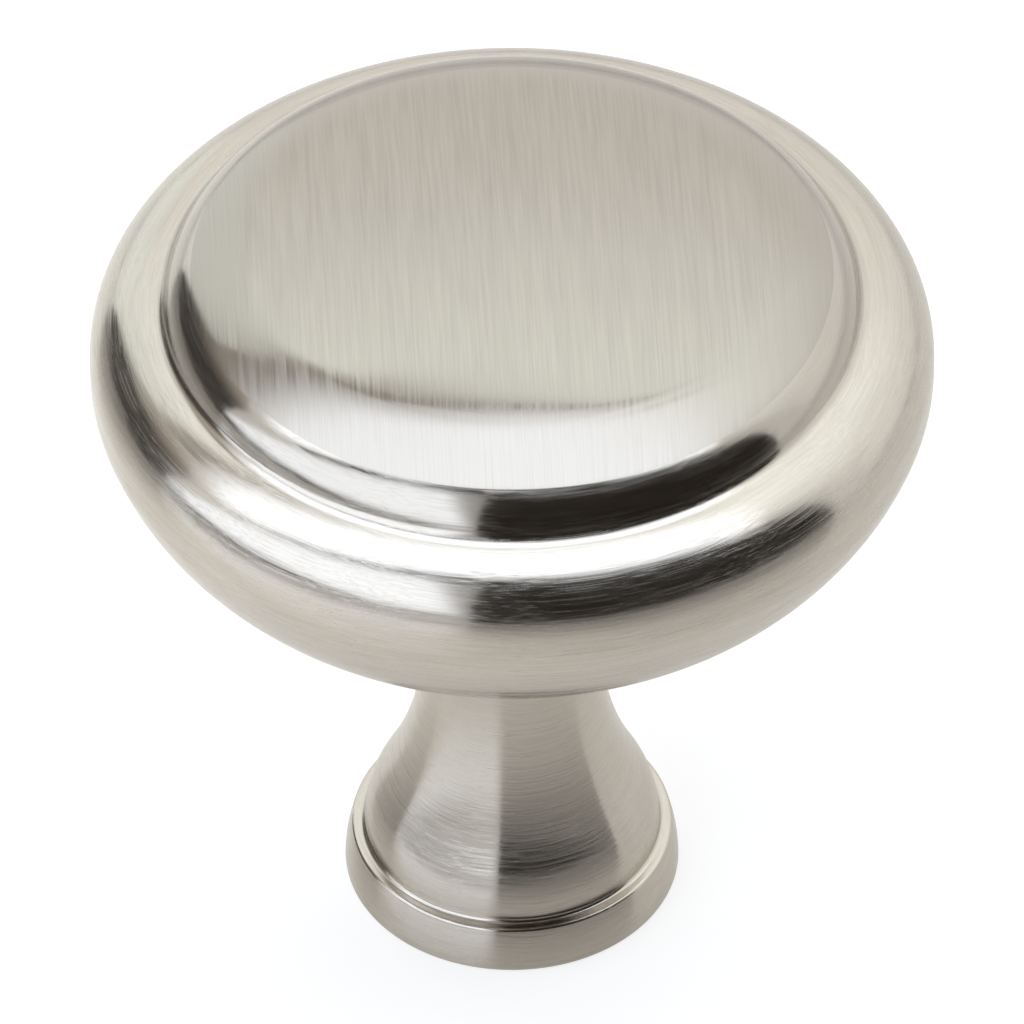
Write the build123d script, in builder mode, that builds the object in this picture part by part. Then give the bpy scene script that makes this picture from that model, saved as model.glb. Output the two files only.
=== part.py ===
from build123d import *

import os
from math import acos, asin, atan2, cos, degrees, radians, sin, sqrt, tan

# Round cabinet knob, die cast in one piece and turned: a stepped, crowned head on a
# waisted stem with a small drum foot, fixed by one screw from behind the drawer front.
# Millimetres, +Z along the axis, origin at the centre of the foot's flat face.

# Overall sizes
head_diameter = 32.0
overall_height = 32.5
base_diameter = 13.0

# Head: crowned cap standing on a rounded rim
crown_radius = 66.0
crown_diameter = 18.94
crown_edge_round = 8.0
crown_edge_angle = 25.9
cap_height = 3.15
cap_shoulder_round = 2.67
crease_round = 0.55
rim_top_round = 2.65
rim_band = 0.5
rim_under_round = 2.85
rim_under_angle = 17.5
bowl_round = 9.3

# Stem: narrowest at the neck, swelling to a bell above the foot
neck_diameter = 7.0
neck_height = 11.2
bell_diameter = 11.52
bell_round = 4.75

# Foot: low drum with a leaning wall and a narrow ledge round the bell
foot_height = 1.97
foot_top_diameter = 12.42
edge_break = 0.15

# Blind screw hole, at the tapping size of a number 8-32 machine screw
thread_drill_diameter = 3.45
thread_mouth_diameter = 4.4
thread_mouth_angle = 45.0
hole_depth = 12.0
drill_point_angle = 118.0

head_radius = head_diameter / 2
base_radius = base_diameter / 2
neck_radius = neck_diameter / 2
bell_radius = bell_diameter / 2
foot_top_radius = foot_top_diameter / 2

# The crown is centred on the axis. Its edge eases into the cap's shoulder, each arc tangent to the next
crown_centre = (0, overall_height - crown_radius)
crown_angle = degrees(asin(crown_diameter / 2 / crown_radius))
edge_offset = crown_radius - crown_edge_round
edge_centre = (
    crown_centre[0] + edge_offset * sin(radians(crown_angle)),
    crown_centre[1] + edge_offset * cos(radians(crown_angle)),
)
shoulder_offset = crown_edge_round - cap_shoulder_round
shoulder_centre = (
    edge_centre[0] + shoulder_offset * sin(radians(crown_edge_angle)),
    edge_centre[1] + shoulder_offset * cos(radians(crown_edge_angle)),
)

# The rim's top round stops just short of level, and the crease is a small cove
# that is tangent to the rim and to the cap's shoulder
rim_level = overall_height - cap_height - rim_top_round
rim_centre = (head_radius - rim_top_round, rim_level)
shoulder_reach = cap_shoulder_round + crease_round
rim_reach = rim_top_round + crease_round
centres_r = rim_centre[0] - shoulder_centre[0]
centres_z = rim_centre[1] - shoulder_centre[1]
centres_gap = sqrt(centres_r**2 + centres_z**2)
crease_along = (shoulder_reach**2 - rim_reach**2 + centres_gap**2) / (2 * centres_gap)
crease_aside = sqrt(shoulder_reach**2 - crease_along**2)
crease_centre = (
    shoulder_centre[0] + (crease_along * centres_r - crease_aside * centres_z) / centres_gap,
    shoulder_centre[1] + (crease_along * centres_z + crease_aside * centres_r) / centres_gap,
)
rim_angle = degrees(atan2(crease_centre[1] - rim_centre[1], crease_centre[0] - rim_centre[0]))
shoulder_angle = degrees(
    atan2(crease_centre[1] - shoulder_centre[1], crease_centre[0] - shoulder_centre[0])
)

# Below its band the rim turns under in a small round and then a wide bowl, tangent to each other
under_centre = (head_radius - rim_under_round, rim_level - rim_band)
bowl_offset = bowl_round - rim_under_round
bowl_centre = (
    under_centre[0] - bowl_offset * cos(radians(rim_under_angle)),
    under_centre[1] + bowl_offset * sin(radians(rim_under_angle)),
)

# Above the neck one arc flares out to the bowl, tangent to both
flare_reach = bowl_centre[0] - neck_radius
flare_drop = bowl_centre[1] - neck_height
flare_round = (flare_reach**2 + flare_drop**2 - bowl_round**2) / (2 * (bowl_round + flare_reach))
flare_centre = (neck_radius + flare_round, neck_height)
flare_angle = degrees(acos((flare_round - flare_reach) / (bowl_round + flare_round)))

# Below the neck one arc runs down to the bell, tangent to both
bell_swell = bell_radius - neck_radius
bell_rise = neck_height - foot_height
waist_round = (bell_swell**2 + bell_rise**2) / (2 * bell_swell) - bell_round
waist_centre = (neck_radius + waist_round, neck_height)
bell_centre = (bell_radius - bell_round, foot_height)
bell_angle = degrees(acos(1 - bell_swell / (bell_round + waist_round)))

# Screw hole: chamfered mouth, straight wall, conical end
drill_radius = thread_drill_diameter / 2
mouth_radius = thread_mouth_diameter / 2
mouth_depth = (mouth_radius - drill_radius) / tan(radians(thread_mouth_angle))
point_depth = drill_radius / tan(radians(drill_point_angle / 2))

with BuildPart() as knob:
    with BuildSketch(Plane.XZ) as half_section:
        with BuildLine() as outline:
            base = Line((0, 0), (base_radius, 0))
            foot_wall = TangentArc(base @ 1, (foot_top_radius, foot_height), tangent=(0, 1))
            ledge = Line(foot_wall @ 1, (bell_radius, foot_height))
            bell = CenterArc(bell_centre, bell_round, 0, bell_angle)
            waist = CenterArc(waist_centre, waist_round, 180 + bell_angle, -bell_angle)
            flare = CenterArc(flare_centre, flare_round, 180, -flare_angle)
            bowl = CenterArc(bowl_centre, bowl_round, -flare_angle, flare_angle - rim_under_angle)
            under_rim = CenterArc(under_centre, rim_under_round, -rim_under_angle, rim_under_angle)
            band = Line(under_rim @ 1, (head_radius, rim_level))
            rim = CenterArc(rim_centre, rim_top_round, 0, rim_angle)
            crease = CenterArc(crease_centre, crease_round, rim_angle + 180, shoulder_angle - rim_angle)
            shoulder = CenterArc(
                shoulder_centre,
                cap_shoulder_round,
                shoulder_angle,
                90 - crown_edge_angle - shoulder_angle,
            )
            crown_edge = CenterArc(
                edge_centre,
                crown_edge_round,
                90 - crown_edge_angle,
                crown_edge_angle - crown_angle,
            )
            crown = CenterArc(crown_centre, crown_radius, 90 - crown_angle, crown_angle)
            axis_line = Line(crown @ 1, base @ 0)
        make_face()
        corners = half_section.vertices()
        foot_corners = [corners.sort_by_distance(foot_wall @ end)[0] for end in (0, 1)]
        chamfer(foot_corners, length=edge_break)
    revolve(axis=Axis.Z)

    with BuildSketch(Plane.XZ) as hole_section:
        with BuildLine():
            Polyline(
                (0, 0),
                (mouth_radius, 0),
                (drill_radius, mouth_depth),
                (drill_radius, hole_depth),
                (0, hole_depth + point_depth),
                close=True,
            )
        make_face()
    revolve(axis=Axis.Z, mode=Mode.SUBTRACT)

knob.part.label = "knob"

os.makedirs("parts", exist_ok=True)
export_step(knob.part, "parts/knob.step")
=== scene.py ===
import math

import bpy
from bpy.props import FloatProperty, FloatVectorProperty, IntProperty, PointerProperty
from bpy.types import Operator, Panel, PropertyGroup
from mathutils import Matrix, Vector


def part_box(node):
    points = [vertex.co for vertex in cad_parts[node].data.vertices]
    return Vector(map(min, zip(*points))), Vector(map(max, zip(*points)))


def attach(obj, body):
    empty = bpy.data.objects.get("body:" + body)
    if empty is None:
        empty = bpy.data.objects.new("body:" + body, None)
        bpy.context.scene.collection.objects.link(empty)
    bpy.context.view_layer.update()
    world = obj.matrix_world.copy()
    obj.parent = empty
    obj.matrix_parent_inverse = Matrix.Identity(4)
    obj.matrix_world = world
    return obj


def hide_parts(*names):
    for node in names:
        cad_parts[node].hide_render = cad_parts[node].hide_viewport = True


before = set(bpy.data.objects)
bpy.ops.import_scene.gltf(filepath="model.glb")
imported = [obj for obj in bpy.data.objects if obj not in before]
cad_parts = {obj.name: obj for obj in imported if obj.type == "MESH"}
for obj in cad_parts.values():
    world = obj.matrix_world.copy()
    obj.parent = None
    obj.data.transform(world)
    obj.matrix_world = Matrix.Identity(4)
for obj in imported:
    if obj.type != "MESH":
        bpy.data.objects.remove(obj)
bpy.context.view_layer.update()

bl_info = {
    "name": "Satin nickel cabinet knob",
    "version": (1, 0, 0),
    "blender": (4, 5, 0),
    "location": "View3D > Sidebar > Knob",
    "description": "Turns, taps and brushes a round cabinet knob and sets it in a small studio",
    "category": "Add Mesh",
}

MM = 0.001
KNOB_LOW, KNOB_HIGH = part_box("knob")
BODY_NAME = "knob_body"
COOL_WHITE = (0.83, 0.89, 1, 1)
WALL_WHITE = (0.955, 1, 0.993, 1)
# Tint of the floor's glow that the metal sees, which carries painted shade
FLOOR_WHITE = (1, 0.98, 0.97, 1)
BROWN_GREY = (1, 0.92, 0.85, 1)


class KnobSizes(PropertyGroup):
    """Sizes of the knob, in metres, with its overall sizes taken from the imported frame."""

    head_diameter: FloatProperty(
        name="Head diameter", description="Widest circle of the head",
        unit="LENGTH", precision=5, default=KNOB_HIGH[0] - KNOB_LOW[0])
    overall_height: FloatProperty(
        name="Overall height", description="From the foot's flat face to the crown",
        unit="LENGTH", precision=5, default=KNOB_HIGH[2] - KNOB_LOW[2])
    crown_radius: FloatProperty(
        name="Crown radius", description="Radius of the cap's gentle dome",
        unit="LENGTH", precision=5, default=66 * MM)
    crown_diameter: FloatProperty(
        name="Crown diameter", description="Diameter at which the dome ends and its edge begins",
        unit="LENGTH", precision=5, default=18.94 * MM)
    crown_edge_round: FloatProperty(
        name="Crown edge round", description="Round that eases the dome into the cap's shoulder",
        unit="LENGTH", precision=5, default=8 * MM)
    crown_edge_angle: FloatProperty(
        name="Crown edge angle", description="Slope at which the edge gives way to the shoulder",
        subtype="ANGLE", default=math.radians(25.9))
    cap_height: FloatProperty(
        name="Cap height", description="From the crease to the crown",
        unit="LENGTH", precision=5, default=3.15 * MM)
    cap_shoulder_round: FloatProperty(
        name="Cap shoulder round", description="Round between the crown's edge and the cap's side",
        unit="LENGTH", precision=5, default=2.67 * MM)
    crease_round: FloatProperty(
        name="Crease round", description="Cove in the crease between the cap and the rim",
        unit="LENGTH", precision=5, default=0.55 * MM)
    rim_top_round: FloatProperty(
        name="Rim top round", description="Quarter round on the rim's upper side",
        unit="LENGTH", precision=5, default=2.65 * MM)
    rim_band: FloatProperty(
        name="Rim band", description="Straight band at the rim's widest circle",
        unit="LENGTH", precision=5, default=0.5 * MM)
    rim_under_round: FloatProperty(
        name="Rim under round", description="Round where the rim turns under",
        unit="LENGTH", precision=5, default=2.85 * MM)
    rim_under_angle: FloatProperty(
        name="Rim under angle", description="Turn of the under round before the bowl begins",
        subtype="ANGLE", default=math.radians(17.5))
    bowl_round: FloatProperty(
        name="Bowl round", description="Radius of the head's bowl-shaped underside",
        unit="LENGTH", precision=5, default=9.3 * MM)
    neck_diameter: FloatProperty(
        name="Neck diameter", description="Narrowest diameter of the stem",
        unit="LENGTH", precision=5, default=7 * MM)
    neck_height: FloatProperty(
        name="Neck height", description="Height of the neck above the foot's face",
        unit="LENGTH", precision=5, default=11.2 * MM)
    bell_diameter: FloatProperty(
        name="Bell diameter", description="Diameter of the stem's bell at the ledge",
        unit="LENGTH", precision=5, default=11.52 * MM)
    bell_round: FloatProperty(
        name="Bell round", description="Radius of the bell's outline",
        unit="LENGTH", precision=5, default=4.75 * MM)
    base_diameter: FloatProperty(
        name="Base diameter", description="Diameter of the foot at its flat face",
        unit="LENGTH", precision=5, default=13 * MM)
    foot_height: FloatProperty(
        name="Foot height", description="Height of the foot's ledge",
        unit="LENGTH", precision=5, default=1.97 * MM)
    foot_top_diameter: FloatProperty(
        name="Foot top diameter", description="Diameter of the foot at its ledge",
        unit="LENGTH", precision=5, default=12.42 * MM)
    edge_round: FloatProperty(
        name="Edge round", description="Small round on the foot's two edges",
        unit="LENGTH", precision=5, default=0.14 * MM)
    cove_round: FloatProperty(
        name="Cove round", description="Small cove between the bell and the ledge",
        unit="LENGTH", precision=5, default=0.18 * MM)
    drill_diameter: FloatProperty(
        name="Drill diameter", description="Diameter of the screw hole at the thread's crests",
        unit="LENGTH", precision=5, default=3.45 * MM)
    thread_diameter: FloatProperty(
        name="Thread diameter", description="Diameter of the thread at its roots",
        unit="LENGTH", precision=5, default=4.166 * MM)
    thread_pitch: FloatProperty(
        name="Thread pitch", description="Rise of the thread in one turn",
        unit="LENGTH", precision=6, default=25.4 / 32 * MM)
    thread_ring: FloatProperty(
        name="Thread ring", description="Width of the flat ring between the hole's mouth and the thread",
        unit="LENGTH", precision=6, default=0.035 * MM)
    mouth_diameter: FloatProperty(
        name="Mouth diameter", description="Diameter of the hole's chamfered mouth",
        unit="LENGTH", precision=5, default=4.4 * MM)
    hole_depth: FloatProperty(
        name="Hole depth", description="Depth of the hole to the start of its conical end",
        unit="LENGTH", precision=5, default=12 * MM)
    drill_point_angle: FloatProperty(
        name="Drill point angle", description="Full angle of the hole's conical end",
        subtype="ANGLE", default=math.radians(118))
    turn_steps: IntProperty(
        name="Turn steps", description="Number of steps round the knob", min=32, default=256)


class NickelFinish(PropertyGroup):
    """Colour and brushing of the satin nickel plate."""

    colour: FloatVectorProperty(
        name="Nickel colour", description="Colour of the plate",
        subtype="COLOR", size=3, min=0, max=1, default=(0.515, 0.479, 0.423))
    thread_colour: FloatVectorProperty(
        name="Thread colour", description="Colour of the bare metal in the tapped hole",
        subtype="COLOR", size=3, min=0, max=1, default=(0.36, 0.35, 0.34))
    cap_pitch: FloatProperty(
        name="Cap pitch", description="Mean distance between the cap's brush lines",
        unit="LENGTH", precision=6, default=0.14 * MM)
    turned_pitch: FloatProperty(
        name="Turned pitch", description="Mean distance between the brush lines round the axis",
        unit="LENGTH", precision=6, default=0.13 * MM)
    cap_brush_angle: FloatProperty(
        name="Cap brush angle", description="Turn of the cap's straight brushing from the Y axis",
        subtype="ANGLE", default=math.radians(-3))
    cap_brush_slope: FloatProperty(
        name="Cap brush slope", description="Slope of the cap down to which the straight brushing reaches",
        subtype="ANGLE", default=math.radians(42))
    cap_dulling: FloatProperty(
        name="Cap dulling", description="Brightness left to the crown by its straight brushing",
        subtype="FACTOR", min=0, max=1, default=0.75)
    shoulder_dulling: FloatProperty(
        name="Shoulder dulling", description="Brightness left to the cap's shoulder",
        subtype="FACTOR", min=0, max=1, default=0.88)
    cap_roughness: FloatProperty(
        name="Cap roughness", description="Roughness of the brushed crown",
        subtype="FACTOR", min=0, max=1, default=0.125)
    edge_roughness: FloatProperty(
        name="Edge roughness", description="Roughness of the crown's brushed edge",
        subtype="FACTOR", min=0, max=1, default=0.16)
    shoulder_roughness: FloatProperty(
        name="Shoulder roughness", description="Roughness of the buffed shoulder of the cap",
        subtype="FACTOR", min=0, max=1, default=0.14)
    rim_roughness: FloatProperty(
        name="Rim roughness", description="Roughness of the rim",
        subtype="FACTOR", min=0, max=1, default=0.17)
    stem_roughness: FloatProperty(
        name="Stem roughness", description="Roughness of the stem and the foot",
        subtype="FACTOR", min=0, max=1, default=0.17)


class StudioSettings(PropertyGroup):
    """Camera and light of the studio."""

    camera_elevation: FloatProperty(
        name="Camera elevation", description="Angle of the camera above the floor",
        subtype="ANGLE", default=math.radians(43.408))
    camera_distance: FloatProperty(
        name="Camera distance", description="Distance of the camera from its aim",
        unit="LENGTH", default=0.6)
    camera_aim_height: FloatProperty(
        name="Camera aim height", description="Height of the aim on the knob's axis",
        unit="LENGTH", precision=5, default=18.364 * MM)
    camera_lens: FloatProperty(
        name="Camera lens", description="Focal length in millimetres on a 36 mm sensor",
        unit="CAMERA", default=551.46)
    softbox_strength: FloatProperty(
        name="Softbox strength", description="Brightness of the overhead softbox", default=2.78)
    card_strength: FloatProperty(
        name="Card strength", description="Brightness of the white card at the front left", default=2.35)
    wall_strength: FloatProperty(
        name="Wall strength", description="Brightness of the wall behind the knob", default=1.76)
    floor_glow: FloatProperty(
        name="Floor glow", description="Part of the floor's white that takes no shadow", default=0.75)


# Modelling

def angle_from(centre, point):
    """Direction from one point of the outline's plane to another."""
    return math.atan2(point[1] - centre[1], point[0] - centre[0])


def out_from(centre, reach, turn):
    """Point at a distance from a centre, in a direction of the outline's plane."""
    return (centre[0] + reach * math.cos(turn), centre[1] + reach * math.sin(turn))


def beside(centre, reach, level):
    """Point at a height, at a distance from a centre and on its outer side."""
    return (centre[0] + math.sqrt(reach**2 - (level - centre[1]) ** 2), level)


def between(first, first_reach, second, second_reach):
    """Point at given distances from two centres, on the left of the line from one to the other."""
    gap = math.dist(first, second)
    along = (first_reach**2 - second_reach**2 + gap**2) / (2 * gap)
    aside = math.sqrt(first_reach**2 - along**2)
    run = ((second[0] - first[0]) / gap, (second[1] - first[1]) / gap)
    return (first[0] + along * run[0] - aside * run[1], first[1] + along * run[1] + aside * run[0])


class Lathe:
    """Draws a half outline in the XZ plane with one vertex, then spins it about the knob's axis."""

    longest_step = 0.5 * MM
    widest_turn = math.radians(4)
    fewest_steps = 6
    weld = 0.0001 * MM

    def __init__(self, name, start):
        bpy.ops.object.select_all(action="DESELECT")
        bpy.ops.mesh.primitive_plane_add(size=MM)
        self.piece = bpy.context.active_object
        self.piece.name = name
        self.piece.data.name = name
        bpy.ops.object.mode_set(mode="EDIT")
        bpy.ops.mesh.merge(type="CENTER")
        bpy.ops.transform.translate(value=(start[0], 0, start[1]))
        self.at = start

    def line_to(self, point):
        """Extrude a straight run to a point."""
        run = (point[0] - self.at[0], 0, point[1] - self.at[1])
        bpy.ops.mesh.extrude_region_move(TRANSFORM_OT_translate={"value": run})
        self.at = point

    def arc_to(self, centre, end_angle):
        """Spin an arc about a centre, the short way round to an angle."""
        sweep = math.remainder(end_angle - angle_from(centre, self.at), math.tau)
        radius = math.dist(centre, self.at)
        by_turn = abs(sweep) / self.widest_turn
        by_length = abs(sweep) * radius / self.longest_step
        steps = math.ceil(max(by_turn, by_length, self.fewest_steps))
        bpy.ops.mesh.spin(steps=steps, angle=sweep, center=(centre[0], 0, centre[1]), axis=(0, 1, 0))
        self.at = out_from(centre, radius, end_angle)

    def turn(self, steps):
        """Spin the outline all the way round and close its poles and seam."""
        bpy.ops.mesh.select_all(action="SELECT")
        bpy.ops.mesh.spin(steps=steps, angle=math.tau, axis=(0, 0, 1), use_auto_merge=True)
        bpy.ops.mesh.select_all(action="SELECT")
        bpy.ops.mesh.remove_doubles(threshold=self.weld)
        bpy.ops.object.mode_set(mode="OBJECT")
        return self.piece


def outer_skin(sizes):
    """Turn the knob's outside, from the crown down to the chamfered mouth of the hole."""
    head_radius = sizes.head_diameter / 2
    neck_radius = sizes.neck_diameter / 2
    base_radius = sizes.base_diameter / 2
    down = -math.pi / 2

    crown_centre = (0, sizes.overall_height - sizes.crown_radius)
    crown_turn = math.pi / 2 - math.asin(sizes.crown_diameter / 2 / sizes.crown_radius)
    edge_turn = math.pi / 2 - sizes.crown_edge_angle
    edge_centre = out_from(crown_centre, sizes.crown_radius - sizes.crown_edge_round, crown_turn)
    shoulder_centre = out_from(edge_centre, sizes.crown_edge_round - sizes.cap_shoulder_round, edge_turn)

    rim_level = sizes.overall_height - sizes.cap_height - sizes.rim_top_round
    rim_centre = (head_radius - sizes.rim_top_round, rim_level)
    crease_centre = between(
        shoulder_centre, sizes.cap_shoulder_round + sizes.crease_round,
        rim_centre, sizes.rim_top_round + sizes.crease_round)
    under_centre = (head_radius - sizes.rim_under_round, rim_centre[1] - sizes.rim_band)
    bowl_offset = sizes.bowl_round - sizes.rim_under_round
    bowl_centre = out_from(under_centre, -bowl_offset, -sizes.rim_under_angle)

    flare_reach = bowl_centre[0] - neck_radius
    flare_drop = bowl_centre[1] - sizes.neck_height
    flare_square = flare_reach**2 + flare_drop**2 - sizes.bowl_round**2
    flare_round = flare_square / (2 * (sizes.bowl_round + flare_reach))
    flare_centre = (neck_radius + flare_round, sizes.neck_height)

    bell_swell = sizes.bell_diameter / 2 - neck_radius
    bell_rise = sizes.neck_height - sizes.foot_height
    waist_round = (bell_swell**2 + bell_rise**2) / (2 * bell_swell) - sizes.bell_round
    waist_centre = (neck_radius + waist_round, sizes.neck_height)
    bell_centre = (sizes.bell_diameter / 2 - sizes.bell_round, sizes.foot_height)
    ledge_cove = beside(
        bell_centre, sizes.bell_round + sizes.cove_round, sizes.foot_height + sizes.cove_round)

    foot_lean = base_radius - sizes.foot_top_diameter / 2
    wall_round = (foot_lean**2 + sizes.foot_height**2) / (2 * foot_lean)
    wall_centre = (base_radius - wall_round, 0)
    wall_reach = wall_round - sizes.edge_round
    ledge_edge = beside(wall_centre, wall_reach, sizes.foot_height - sizes.edge_round)
    base_edge = beside(wall_centre, wall_reach, sizes.edge_round)

    skin = Lathe(BODY_NAME, (0, sizes.overall_height))
    skin.arc_to(crown_centre, crown_turn)
    skin.arc_to(edge_centre, edge_turn)
    skin.arc_to(shoulder_centre, angle_from(shoulder_centre, crease_centre))
    skin.arc_to(crease_centre, angle_from(crease_centre, rim_centre))
    skin.arc_to(rim_centre, 0)
    skin.line_to((head_radius, under_centre[1]))
    skin.arc_to(under_centre, -sizes.rim_under_angle)
    skin.arc_to(bowl_centre, angle_from(bowl_centre, flare_centre))
    skin.arc_to(flare_centre, math.pi)
    skin.arc_to(waist_centre, angle_from(waist_centre, bell_centre))
    skin.arc_to(bell_centre, angle_from(bell_centre, ledge_cove))
    skin.arc_to(ledge_cove, down)
    skin.line_to((ledge_edge[0], sizes.foot_height))
    skin.arc_to(ledge_edge, angle_from(wall_centre, ledge_edge))
    skin.arc_to(wall_centre, angle_from(wall_centre, base_edge))
    skin.arc_to(base_edge, down)
    skin.line_to((base_edge[0] - sizes.edge_round, 0))
    skin.line_to((sizes.mouth_diameter / 2 + sizes.edge_round, 0))
    skin.line_to((sizes.mouth_diameter / 2, 0))
    skin.line_to((sizes.thread_diameter / 2 + sizes.thread_ring, thread_start(sizes)))
    return skin.turn(sizes.turn_steps)


def thread_start(sizes):
    """Height at which the thread begins above the hole's mouth."""
    return (sizes.mouth_diameter - sizes.thread_diameter) / 2


def thread_end(sizes):
    """Height at which the thread runs out, one turn short of the drilled depth."""
    return sizes.hole_depth - sizes.thread_pitch


def drilled_end(sizes):
    """Turn the plain end of the drilled hole beyond the thread, with its conical point."""
    radius = sizes.drill_diameter / 2 - sizes.thread_ring / 2
    point_depth = radius / math.tan(sizes.drill_point_angle / 2)
    end = Lathe("drilled_end", (radius, thread_end(sizes)))
    end.line_to((radius, sizes.hole_depth))
    end.line_to((0, sizes.hole_depth + point_depth))
    return end.turn(sizes.turn_steps)


def tapped_wall(sizes):
    """Screw one pitch of the thread's outline up the hole and trim it at both ends."""
    crest_radius = sizes.drill_diameter / 2
    root_radius = sizes.thread_diameter / 2
    flank_angle = math.radians(30)
    flank_rise = (root_radius - crest_radius) * math.tan(flank_angle)
    root_flat = sizes.thread_pitch / 8
    crest_flat = sizes.thread_pitch - root_flat - 2 * flank_rise
    lead_in = 1.3 * sizes.thread_pitch
    start = thread_start(sizes) - lead_in
    turns = math.ceil((thread_end(sizes) - start) / sizes.thread_pitch) + 1

    wall = Lathe("tapped_wall", (crest_radius, start))
    wall.line_to((crest_radius, start + crest_flat))
    wall.line_to((root_radius, start + crest_flat + flank_rise))
    wall.line_to((root_radius, start + crest_flat + flank_rise + root_flat))
    wall.line_to((crest_radius, start + sizes.thread_pitch))
    bpy.ops.object.mode_set(mode="OBJECT")
    bpy.ops.object.modifier_add(type="SCREW")
    screw = wall.piece.modifiers[-1]
    screw.screw_offset = sizes.thread_pitch
    screw.iterations = turns
    screw.steps = sizes.turn_steps // 4
    screw.render_steps = screw.steps
    bpy.ops.object.modifier_apply(modifier=screw.name)

    bpy.ops.object.mode_set(mode="EDIT")
    bpy.ops.mesh.select_all(action="SELECT")
    bpy.ops.mesh.remove_doubles(threshold=wall.weld)
    bpy.ops.mesh.bisect(
        plane_co=(0, 0, thread_start(sizes)), plane_no=(0, 0, 1), clear_inner=True, threshold=wall.weld)
    bpy.ops.mesh.select_all(action="SELECT")
    bpy.ops.mesh.bisect(
        plane_co=(0, 0, thread_end(sizes)), plane_no=(0, 0, 1), clear_outer=True, threshold=wall.weld)
    bpy.ops.object.mode_set(mode="OBJECT")
    return wall.piece


def fill_ring(piece, level):
    """Fill the flat ring between the two open edge loops that a piece has at a height."""
    near = 0.001 * MM
    bpy.ops.object.mode_set(mode="EDIT")
    bpy.ops.mesh.select_mode(type="EDGE")
    bpy.ops.mesh.select_all(action="DESELECT")
    bpy.ops.mesh.select_non_manifold(
        extend=False, use_wire=False, use_boundary=True, use_multi_face=False,
        use_non_contiguous=False, use_verts=False)
    bpy.ops.object.mode_set(mode="OBJECT")
    heights = [vertex.co.z for vertex in piece.data.vertices]
    for edge in piece.data.edges:
        at_level = all(abs(heights[corner] - level) < near for corner in edge.vertices)
        edge.select = edge.select and at_level
    bpy.ops.object.mode_set(mode="EDIT")
    bpy.ops.mesh.fill()
    bpy.ops.object.mode_set(mode="OBJECT")


class KNOB_OT_turn_body(Operator):
    """Turn the knob's body and cut the screw thread in its foot"""

    bl_idname = "knob.turn_body"
    bl_label = "Turn the Body"

    def execute(self, context):
        sizes = context.scene.knob_sizes
        body = outer_skin(sizes)
        hole = [drilled_end(sizes), tapped_wall(sizes)]

        bpy.ops.object.select_all(action="DESELECT")
        for piece in hole:
            piece.select_set(True)
        body.select_set(True)
        context.view_layer.objects.active = body
        bpy.ops.object.join()
        fill_ring(body, thread_start(sizes))
        fill_ring(body, thread_end(sizes))

        bpy.ops.object.mode_set(mode="EDIT")
        bpy.ops.mesh.select_all(action="SELECT")
        bpy.ops.mesh.remove_doubles(threshold=Lathe.weld)
        bpy.ops.mesh.normals_make_consistent(inside=False)
        bpy.ops.mesh.select_all(action="DESELECT")
        bpy.ops.mesh.select_non_manifold()
        bpy.ops.object.mode_set(mode="OBJECT")
        open_edges = sum(edge.select for edge in body.data.edges)
        if open_edges:
            raise RuntimeError(f"the body isn't closed: {open_edges} open edges")
        sharp_angle = math.radians(30)
        bpy.ops.object.shade_smooth_by_angle(angle=sharp_angle)

        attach(body, "root")
        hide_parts("knob")
        return {"FINISHED"}


# Materials

def put(tree, socket, value):
    """Link an output to a socket, or set the socket to a plain value."""
    if isinstance(value, bpy.types.NodeSocket):
        tree.links.new(value, socket)
    else:
        socket.default_value = value


def add_node(tree, kind, inputs=None, **settings):
    """Add a node with its settings, and fill its inputs by name."""
    node = tree.nodes.new(kind)
    for name, value in settings.items():
        setattr(node, name, value)
    for name, value in (inputs or {}).items():
        put(tree, node.inputs[name], value)
    return node


def calc(tree, operation, *values):
    """Add a Math node for numbers and outputs, and give its result."""
    node = add_node(tree, "ShaderNodeMath", operation=operation)
    for socket, value in zip(node.inputs, values):
        put(tree, socket, value)
    return node.outputs[0]


def rescale(tree, value, from_low, from_high, to_low, to_high, smooth=False):
    """Map a value from one range to another, held at the ends."""
    node = add_node(
        tree, "ShaderNodeMapRange", interpolation_type="SMOOTHSTEP" if smooth else "LINEAR",
        inputs={"Value": value, "From Min": from_low, "From Max": from_high,
                "To Min": to_low, "To Max": to_high})
    return node.outputs["Result"]


def new_group(name, inputs, outputs):
    """Start a shader node group with number sockets, and give its tree, inputs and end node."""
    tree = bpy.data.node_groups.new(name, "ShaderNodeTree")
    for label, default in inputs.items():
        socket = tree.interface.new_socket(name=label, in_out="INPUT", socket_type="NodeSocketFloat")
        socket.default_value = default
    for label in outputs:
        tree.interface.new_socket(name=label, in_out="OUTPUT", socket_type="NodeSocketFloat")
    start = tree.nodes.new("NodeGroupInput")
    end = tree.nodes.new("NodeGroupOutput")
    return tree, start.outputs, end


def brush_noise(tree, across, along, pitch, length, seed, detail):
    """Noise drawn out along the brushing, from two distances across it and one along it."""
    first = calc(tree, "DIVIDE", across[0], pitch)
    stretched = add_node(tree, "ShaderNodeCombineXYZ", inputs={
        "X": calc(tree, "ADD", first, seed),
        "Y": calc(tree, "DIVIDE", across[1], pitch),
        "Z": calc(tree, "DIVIDE", along, length),
    })
    noise = add_node(tree, "ShaderNodeTexNoise", inputs={
        "Vector": stretched.outputs[0], "Scale": 1.0, "Detail": detail, "Roughness": 0.6})
    return noise.outputs["Fac"]


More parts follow.
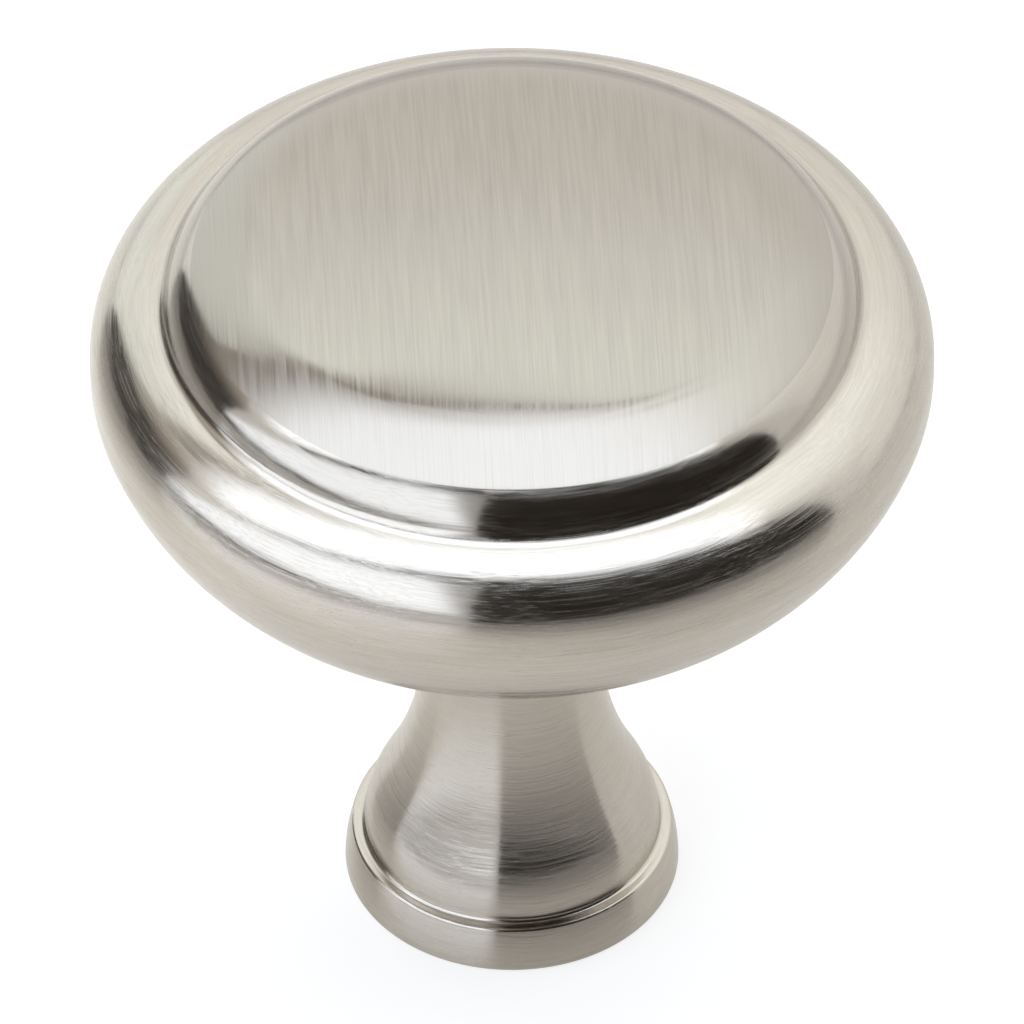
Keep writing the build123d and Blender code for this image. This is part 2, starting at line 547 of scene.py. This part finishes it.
def brushed_layers(tree, across, along, pitch):
    """Fine and broad brush lines together, and the few deep ones among them."""
    broad_pitch = calc(tree, "MULTIPLY", pitch, 3.5)
    deep_pitch = calc(tree, "MULTIPLY", pitch, 0.25)
    fine = brush_noise(tree, across, along, pitch, length=4 * MM, seed=0.0, detail=1.0)
    broad = brush_noise(tree, across, along, broad_pitch, length=8 * MM, seed=31.0, detail=0.0)
    deep = brush_noise(tree, across, along, deep_pitch, length=9 * MM, seed=67.0, detail=0.0)
    lines = calc(tree, "ADD", calc(tree, "MULTIPLY", fine, 0.7), calc(tree, "MULTIPLY", broad, 0.3))
    scratches = rescale(tree, deep, 0.5, 0.7, 0.0, 1.0, smooth=True)
    return lines, scratches


def straight_brushing():
    """Group: straight brush lines along the Y axis, turned a little."""
    tree, inputs, end = new_group(
        "straight_brushing", {"Pitch": 0.16 * MM, "Turn": 0.0}, ("Lines", "Scratches"))
    place = add_node(tree, "ShaderNodeTexCoord").outputs["Object"]
    turned = add_node(tree, "ShaderNodeVectorRotate", rotation_type="Z_AXIS", inputs={
        "Vector": place, "Angle": inputs["Turn"]})
    axes = add_node(tree, "ShaderNodeSeparateXYZ", inputs={"Vector": turned.outputs[0]}).outputs
    lines, scratches = brushed_layers(tree, (axes["X"], 0.0), axes["Y"], inputs["Pitch"])
    put(tree, end.inputs["Lines"], lines)
    put(tree, end.inputs["Scratches"], scratches)
    return tree


def turned_brushing():
    """Group: brush lines round the knob's axis, which waver a little and close on themselves."""
    tree, inputs, end = new_group(
        "turned_brushing", {"Pitch": 0.16 * MM, "Waver": 0.0}, ("Lines", "Scratches"))
    place = add_node(tree, "ShaderNodeTexCoord").outputs["Object"]
    axes = add_node(tree, "ShaderNodeSeparateXYZ", inputs={"Vector": place}).outputs
    flat = add_node(tree, "ShaderNodeCombineXYZ", inputs={"X": axes["X"], "Y": axes["Y"]}).outputs[0]
    radius = add_node(tree, "ShaderNodeVectorMath", operation="LENGTH", inputs={0: flat}).outputs["Value"]
    angle = calc(tree, "ARCTAN2", axes["Y"], axes["X"])
    slow_wave = calc(tree, "SINE", calc(tree, "MULTIPLY", angle, 5.0))
    quick_wave = calc(tree, "SINE", calc(tree, "MULTIPLY_ADD", angle, 9.0, 2.0))
    sway = calc(tree, "ADD", slow_wave, quick_wave)
    shift = calc(tree, "MULTIPLY", sway, calc(tree, "MULTIPLY", radius, inputs["Waver"]))
    across = (calc(tree, "ADD", radius, shift), calc(tree, "ADD", axes["Z"], shift))
    along = calc(tree, "MULTIPLY", calc(tree, "ABSOLUTE", angle), radius)
    lines, scratches = brushed_layers(tree, across, along, inputs["Pitch"])
    put(tree, end.inputs["Lines"], lines)
    put(tree, end.inputs["Scratches"], scratches)
    return tree


def plate_tone():
    """Group: brightness of the plate, from its brush lines and a faint cloudiness."""
    cloud_contrast = 0.05
    scratch_contrast = -0.03
    tree, inputs, end = new_group(
        "plate_tone", {"Lines": 0.5, "Scratches": 0.0, "Contrast": 0.1}, ("Tone",))
    place = add_node(tree, "ShaderNodeTexCoord").outputs["Object"]
    clouds = add_node(tree, "ShaderNodeTexNoise", inputs={
        "Vector": place, "Scale": 260.0, "Detail": 2.0}).outputs["Fac"]
    streaks = calc(tree, "MULTIPLY", calc(tree, "SUBTRACT", inputs["Lines"], 0.5), inputs["Contrast"])
    haze = calc(tree, "MULTIPLY", calc(tree, "SUBTRACT", clouds, 0.5), cloud_contrast)
    marks = calc(tree, "MULTIPLY", inputs["Scratches"], scratch_contrast)
    tone = calc(tree, "ADD", calc(tree, "ADD", streaks, haze), calc(tree, "ADD", marks, 1.0))
    put(tree, end.inputs["Tone"], tone)
    return tree


def place_group(tree, group, **values):
    """Place a node group in a material with its own values."""
    node = add_node(tree, "ShaderNodeGroup", node_tree=group)
    for label, value in values.items():
        put(tree, node.inputs[label], value)
    return node.outputs


def metal_material(name, anisotropy, tangent_axis):
    """Start a metal material whose gloss is drawn out across its brush lines."""
    quarter_turn = 0.25
    material = bpy.data.materials.new(name)
    material.use_nodes = True
    tree = material.node_tree
    shader = tree.nodes["Principled BSDF"]
    shader.inputs["Metallic"].default_value = 1.0
    shader.inputs["Anisotropic"].default_value = anisotropy
    shader.inputs["Anisotropic Rotation"].default_value = quarter_turn
    tangent = add_node(tree, "ShaderNodeTangent", direction_type="RADIAL", axis=tangent_axis)
    put(tree, shader.inputs["Tangent"], tangent.outputs[0])
    return material, tree, shader


def dress(tree, shader, groups, colour, lines, scratches, roughness, haze, contrast, height, depth):
    """Give a metal its tone, roughness and bump from its brush lines, and haze from its scratches."""
    tone = place_group(tree, groups["tone"], Lines=lines, Scratches=scratches, Contrast=contrast)["Tone"]
    shade = add_node(tree, "ShaderNodeVectorMath", operation="SCALE", inputs={0: colour, "Scale": tone})
    put(tree, shader.inputs["Base Color"], shade.outputs[0])
    spread = calc(tree, "MULTIPLY", rescale(tree, lines, 0.3, 0.7, 0.65, 1.35), roughness)
    put(tree, shader.inputs["Roughness"], calc(tree, "MULTIPLY_ADD", scratches, haze, spread))
    bump = add_node(tree, "ShaderNodeBump", inputs={"Strength": 1.0, "Distance": depth, "Height": height})
    put(tree, shader.inputs["Normal"], bump.outputs[0])


def cap_material(finish, sizes, groups):
    """Straight brushing of the crown: crisp along its lines, soft across them, fainter over its edge."""
    material, tree, shader = metal_material("nickel_cap", 1.0, "X")
    lines, scratches = place_group(
        tree, groups["straight"], Pitch=finish.cap_pitch, Turn=finish.cap_brush_angle).values()
    colour = tuple(finish.cap_dulling * part for part in finish.colour)
    place = add_node(tree, "ShaderNodeTexCoord").outputs["Object"]
    height = add_node(tree, "ShaderNodeSeparateXYZ", inputs={"Vector": place}).outputs["Z"]
    crown_level = sizes.overall_height - sizes.crown_diameter**2 / 8 / sizes.crown_radius
    edge_level = crown_level - 0.4 * MM

    def over_edge(edge, crown):
        """Value that changes from the crown's to its edge's."""
        return rescale(tree, height, edge_level, crown_level, edge, crown, smooth=True)

    roughness = over_edge(finish.edge_roughness, finish.cap_roughness)
    contrast = over_edge(0.1, 0.36)
    dress(tree, shader, groups, colour, lines, scratches,
          roughness=roughness, haze=0.04, contrast=contrast, height=lines, depth=0.0015 * MM)
    return material


def turned_material(finish, sizes, groups):
    """Brushing round the axis: buffed on the cap's shoulder, satin on the rim, coarser on the stem."""
    material, tree, shader = metal_material("nickel_turned", 0.8, "Z")
    place = add_node(tree, "ShaderNodeTexCoord").outputs["Object"]
    height = add_node(tree, "ShaderNodeSeparateXYZ", inputs={"Vector": place}).outputs["Z"]
    lines, scratches = place_group(
        tree, groups["turned"], Pitch=finish.turned_pitch, Waver=0.006).values()
    rim_level = 0.7 * sizes.overall_height
    crease_level = sizes.overall_height - sizes.cap_height
    shoulder_level = crease_level + sizes.crease_round

    def by_height(stem, rim, shoulder):
        """Value that changes from the stem's to the rim's, and above the crease to the shoulder's."""
        head = rescale(tree, height, sizes.neck_height, rim_level, stem, rim, smooth=True)
        buffed = rescale(tree, height, crease_level, shoulder_level, 0.0, shoulder - rim, smooth=True)
        return calc(tree, "ADD", head, buffed)

    roughness = by_height(finish.stem_roughness, finish.rim_roughness, finish.shoulder_roughness)
    haze = by_height(0.08, 0.1, 0.055)
    contrast = by_height(0.2, 0.32, 0.06)
    grain = calc(tree, "MULTIPLY", lines, by_height(0.9, 0.5, 0.2))
    brightness = by_height(1.0, 1.0, finish.shoulder_dulling)
    colour = add_node(tree, "ShaderNodeVectorMath", operation="SCALE", inputs={
        0: finish.colour, "Scale": brightness}).outputs[0]
    dress(tree, shader, groups, colour, lines, scratches,
          roughness=roughness, haze=haze, contrast=contrast, height=grain, depth=0.01 * MM)
    return material


def thread_material(finish, groups):
    """Bare cut metal of the tapped hole."""
    material, tree, shader = metal_material("tapped_metal", 0.4, "Z")
    lines, scratches = place_group(tree, groups["turned"], Pitch=0.08 * MM, Waver=0.0).values()
    dress(tree, shader, groups, finish.thread_colour, lines, scratches,
          roughness=0.38, haze=0.06, contrast=0.3, height=lines, depth=0.004 * MM)
    return material


class KNOB_OT_brush_nickel(Operator):
    """Give the knob its brushed nickel, with the straight lines on the cap only"""

    bl_idname = "knob.brush_nickel"
    bl_label = "Brush the Nickel"

    def execute(self, context):
        sizes = context.scene.knob_sizes
        finish = context.scene.nickel_finish
        body = bpy.data.objects[BODY_NAME]
        groups = {"straight": straight_brushing(), "turned": turned_brushing(), "tone": plate_tone()}
        materials = (
            turned_material(finish, sizes, groups),
            cap_material(finish, sizes, groups),
            thread_material(finish, groups),
        )
        body.data.materials.clear()
        for material in materials:
            body.data.materials.append(material)

        cap_slot = 1
        thread_slot = 2
        cap_middle = sizes.overall_height - sizes.cap_height / 2
        brushed = math.cos(finish.cap_brush_slope)
        for face in body.data.polygons:
            radius = math.hypot(face.center.x, face.center.y)
            if face.center.z > cap_middle and face.normal.z > brushed:
                face.material_index = cap_slot
            elif face.center.z < cap_middle and radius < sizes.mouth_diameter / 2:
                face.material_index = thread_slot
        return {"FINISHED"}


# Studio

def direction(azimuth, zenith):
    """Direction from the knob's head: degrees round from +X and degrees down from overhead."""
    turn = math.radians(azimuth)
    lean = math.radians(zenith)
    return Vector((math.sin(lean) * math.cos(turn), math.sin(lean) * math.sin(turn), math.cos(lean)))


def sheet(name, corners, material):
    """Hang a flat sheet by its corners, out of the camera's sight."""
    bpy.ops.object.select_all(action="DESELECT")
    bpy.ops.mesh.primitive_circle_add(vertices=len(corners), fill_type="NGON")
    piece = bpy.context.active_object
    piece.name = name
    for vertex, corner in zip(piece.data.vertices, corners):
        vertex.co = corner
    piece.data.materials.append(material)
    piece.visible_camera = False


def card(name, centre, corners, material):
    """Stand a flat card where it fills given directions, at given distances from a centre."""
    places = [centre + distance * direction(azimuth, zenith) for azimuth, zenith, distance in corners]
    sheet(name, places, material)


def overhead(name, height, corners, material):
    """Hang a level sheet at a height, by the X and Y of its corners."""
    sheet(name, [Vector((x, y, height)) for x, y in corners], material)


def emitter(name, colour, strength, fades=()):
    """Light of a card. Each fade has a direction, its near and far ends and the tint at the far end."""
    material = bpy.data.materials.new(name)
    material.use_nodes = True
    tree = material.node_tree
    tree.nodes.remove(tree.nodes["Principled BSDF"])
    place = add_node(tree, "ShaderNodeTexCoord").outputs["Object"]
    for along, near, far, tint in fades:
        reach = add_node(tree, "ShaderNodeVectorMath", operation="DOT_PRODUCT", inputs={0: place, 1: along})
        fade = rescale(tree, reach.outputs["Value"], near, far, 0.0, 1.0, smooth=True)
        mix = add_node(tree, "ShaderNodeMixRGB", blend_type="MULTIPLY", inputs={
            "Fac": fade, "Color1": colour, "Color2": tint})
        colour = mix.outputs["Color"]
    glow = add_node(tree, "ShaderNodeEmission", inputs={"Color": colour, "Strength": strength})
    put(tree, tree.nodes["Material Output"].inputs["Surface"], glow.outputs[0])
    return material


def black_card():
    """Flat black of the cards that keep light off."""
    material = bpy.data.materials.new("black_card")
    material.use_nodes = True
    shader = material.node_tree.nodes["Principled BSDF"]
    shader.inputs["Base Color"].default_value = (0.036, 0.029, 0.023, 1)
    shader.inputs["Roughness"].default_value = 1.0
    shader.inputs["Specular IOR Level"].default_value = 0.0
    return material


def seen_directly(tree):
    """One for rays from the camera, a mirror or glass, and nought for the others."""
    path = add_node(tree, "ShaderNodeLightPath").outputs
    mirrored = calc(tree, "MAXIMUM", path["Is Glossy Ray"], path["Is Transmission Ray"])
    return calc(tree, "MAXIMUM", path["Is Camera Ray"], mirrored)


def floor_material(glow):
    """White table: plain white with the knob's shadow for the eye; for the metal, glossy acrylic over a
    glow with painted shade, darker to the right where the knob's shadow falls.
    """
    material = bpy.data.materials.new("studio_floor")
    material.use_nodes = True
    tree = material.node_tree
    tree.nodes.remove(tree.nodes["Principled BSDF"])
    white = add_node(tree, "ShaderNodeEmission", inputs={"Strength": glow})
    paint = add_node(tree, "ShaderNodeBsdfDiffuse", inputs={"Color": (0.32, 0.32, 0.32, 1)})
    for_eye = add_node(tree, "ShaderNodeAddShader", inputs={0: white.outputs[0], 1: paint.outputs[0]})

    place = add_node(tree, "ShaderNodeTexCoord").outputs["Object"]
    across = add_node(tree, "ShaderNodeSeparateXYZ", inputs={"Vector": place}).outputs["X"]
    # Painted shade: the glow that the metal sees fades from the left to the right, standing in for the
    # knob's shadow on the table
    level = rescale(tree, across, from_low=-0.06, from_high=0.03, to_low=0.58, to_high=0.28)
    body = add_node(tree, "ShaderNodeEmission", inputs={
        "Color": FLOOR_WHITE, "Strength": calc(tree, "MULTIPLY", seen_directly(tree), level)})
    lit = add_node(tree, "ShaderNodeBsdfDiffuse", inputs={"Color": (0.54, 0.51, 0.46, 1)})
    acrylic_with_painted_shade = add_node(tree, "ShaderNodeAddShader", inputs={0: body.outputs[0], 1: lit.outputs[0]})
    gloss = add_node(tree, "ShaderNodeBsdfGlossy", inputs={"Roughness": 0.15})
    glance = add_node(tree, "ShaderNodeLayerWeight", inputs={"Blend": 0.5}).outputs["Facing"]
    shine = calc(tree, "MULTIPLY_ADD", calc(tree, "POWER", glance, 2.0), 0.85, 0.02)
    for_metal = add_node(tree, "ShaderNodeMixShader", inputs={
        0: shine, 1: acrylic_with_painted_shade.outputs[0], 2: gloss.outputs[0]})
    path = add_node(tree, "ShaderNodeLightPath").outputs
    either = add_node(tree, "ShaderNodeMixShader", inputs={
        0: path["Is Camera Ray"], 1: for_metal.outputs[0], 2: for_eye.outputs[0]})
    put(tree, tree.nodes["Material Output"].inputs["Surface"], either.outputs[0])
    return material


def white_world():
    """White surroundings for the eye and for mirrors, and a softer fill for the rest."""
    world = bpy.data.worlds.new("white_studio")
    bpy.context.scene.world = world
    world.use_nodes = True
    tree = world.node_tree
    sky = tree.nodes["Background"]
    sky.inputs["Color"].default_value = (1, 1, 1, 1)
    put(tree, sky.inputs["Strength"], rescale(tree, seen_directly(tree), 0.0, 1.0, 0.5, 1.0))


def lay_floor(glow):
    """Lay the floor under the knob's foot."""
    width = 6
    bpy.ops.object.select_all(action="DESELECT")
    bpy.ops.mesh.primitive_plane_add(size=width)
    floor = bpy.context.active_object
    floor.name = "floor"
    floor.data.materials.append(floor_material(glow))


def hang_overhead(studio, black):
    """Hang the softbox, with a dim strip behind it and a black gap before it."""
    softbox_light = emitter("softbox_light", COOL_WHITE, studio.softbox_strength, (
        ((-0.45, 1, 0), 0.235, 0.365, (0.485, 0.455, 0.415, 1)),
        ((1, 1, 0), 0.28, 0.39, (0.84, 0.79, 0.72, 1))))
    dim = emitter("dim", BROWN_GREY, strength=0.52)

    softbox = (
        (0.48, -0.085), (0.3, -0.146), (0.125, -0.176), (-0.15, -0.184), (-0.531, -0.09), (-0.8, 0.095),
        (-0.29, 0.222), (-0.11, 0.302), (-0.055, 0.304), (-0.007, 0.297), (0.05, 0.303))
    strip = (
        (-0.5, 0.16), (0.085, 0.26), (0.085, 0.317), (0.042, 0.313), (-0.007, 0.311), (-0.056, 0.326),
        (-0.1, 0.363), (-0.17, 0.35), (-0.26, 0.333), (-0.38, 0.345), (-0.47, 0.39))
    gap = ((-0.05, -0.185), (-0.05, -0.32), (-0.67, -0.12), (-0.67, -0.1))
    overhead("softbox", 0.53, softbox, softbox_light)
    overhead("dim_strip", 0.54, strip, dim)
    overhead("black_gap", 0.525, gap, black)


def stand_cards(studio, black):
    """Stand the white and the black cards and the walls round the knob's head."""
    card_light = emitter("card_light", COOL_WHITE, studio.card_strength, (
        ((1, 0, 0), -0.16, -0.095, (0.35, 0.33, 0.31, 1)),))
    wall_light = emitter("wall_light", WALL_WHITE, studio.wall_strength, (
        ((0, 0, 1), 1.35, 0.6, (0.72, 0.68, 0.67, 1)),))
    left_light = emitter("left_light", WALL_WHITE, strength=1.4)
    right_light = emitter("right_light", WALL_WHITE, strength=1.85, fades=(
        ((0, 0, 1), 1.5, 0.4, (0.69, 0.66, 0.66, 1)),
        ((0, 1, 0), 0.5, -0.1, (0.84, 0.84, 0.84, 1))))
    dusk = emitter("dusk", BROWN_GREY, strength=0.85, fades=(
        ((0, 0, 1), 0.74, 0.34, (0.1, 0.1, 0.1, 1)),))

    head = Vector((0, 0, 29 * MM))
    cards = (
        ("white_card", card_light, ((260, 30, 0.6), (260, 84, 0.6), (175, 84, 2), (175, 82, 2))),
        ("back_wall", wall_light, ((105, 86, 1.6), (62, 86, 1.6), (55, 33, 1.6), (120, 35, 1.6))),
        ("left_wall", left_light, ((145, 88, 1.9), (105, 88, 1.9), (115, 38, 1.9), (145, 42, 1.9))),
        ("right_wall", right_light, ((62, 86, 1.65), (8, 86, 1.65), (-8, 30, 1.65), (62, 28, 1.65))),
        ("black_front", black, ((260, 21, 0.6), (260, 92, 0.6), (352, 97, 0.2), (352, 60, 0.2))),
        ("dark_left", dusk, ((175, 47, 1), (175, 91, 1), (131, 91, 1), (143, 47, 1))),
        ("black_foot", black, ((260, 85, 0.59), (260, 87.5, 0.59), (175, 89.5, 1.9), (175, 84, 1.9))),
    )
    for name, material, corners in cards:
        card(name, head, corners, material)


def set_camera(studio):
    """Aim the camera at the knob's axis, from the front and above."""
    bpy.ops.object.camera_add()
    camera = bpy.context.active_object
    camera.name = "camera"
    level = studio.camera_distance * math.cos(studio.camera_elevation)
    rise = studio.camera_distance * math.sin(studio.camera_elevation)
    camera.location = (0, -level, studio.camera_aim_height + rise)
    camera.rotation_euler = (math.pi / 2 - studio.camera_elevation, 0, 0)
    camera.data.sensor_width = 36
    camera.data.lens = studio.camera_lens
    camera.data.clip_start = 0.01
    bpy.context.scene.camera = camera


class KNOB_OT_set_stage(Operator):
    """Set the floor, the cards, the light and the camera"""

    bl_idname = "knob.set_stage"
    bl_label = "Set the Stage"

    def execute(self, context):
        studio = context.scene.knob_studio
        black = black_card()
        lay_floor(studio.floor_glow)
        white_world()
        hang_overhead(studio, black)
        stand_cards(studio, black)
        set_camera(studio)
        context.scene.view_settings.view_transform = "Standard"
        return {"FINISHED"}


class KNOB_PT_sidebar(Panel):
    """Steps and settings of the knob"""

    bl_idname = "KNOB_PT_sidebar"
    bl_label = "Cabinet Knob"
    bl_space_type = "VIEW_3D"
    bl_region_type = "UI"
    bl_category = "Knob"

    def draw(self, context):
        scene = context.scene
        for step in (KNOB_OT_turn_body, KNOB_OT_brush_nickel, KNOB_OT_set_stage):
            self.layout.operator(step.bl_idname)
        for settings in (scene.knob_sizes, scene.nickel_finish, scene.knob_studio):
            box = self.layout.box()
            for name in settings.__annotations__:
                box.prop(settings, name)


CLASSES = (
    KnobSizes,
    NickelFinish,
    StudioSettings,
    KNOB_OT_turn_body,
    KNOB_OT_brush_nickel,
    KNOB_OT_set_stage,
    KNOB_PT_sidebar,
)


def register():
    """Register the classes and put their settings on the scene."""
    for item in CLASSES:
        bpy.utils.register_class(item)
    bpy.types.Scene.knob_sizes = PointerProperty(type=KnobSizes)
    bpy.types.Scene.nickel_finish = PointerProperty(type=NickelFinish)
    bpy.types.Scene.knob_studio = PointerProperty(type=StudioSettings)


def unregister():
    """Take the settings off the scene and unregister the classes."""
    del bpy.types.Scene.knob_studio
    del bpy.types.Scene.nickel_finish
    del bpy.types.Scene.knob_sizes
    for item in reversed(CLASSES):
        bpy.utils.unregister_class(item)


def main():
    """Build the knob and its studio."""
    register()
    bpy.ops.knob.turn_body()
    bpy.ops.knob.brush_nickel()
    bpy.ops.knob.set_stage()


if __name__ == "__main__":
    main()
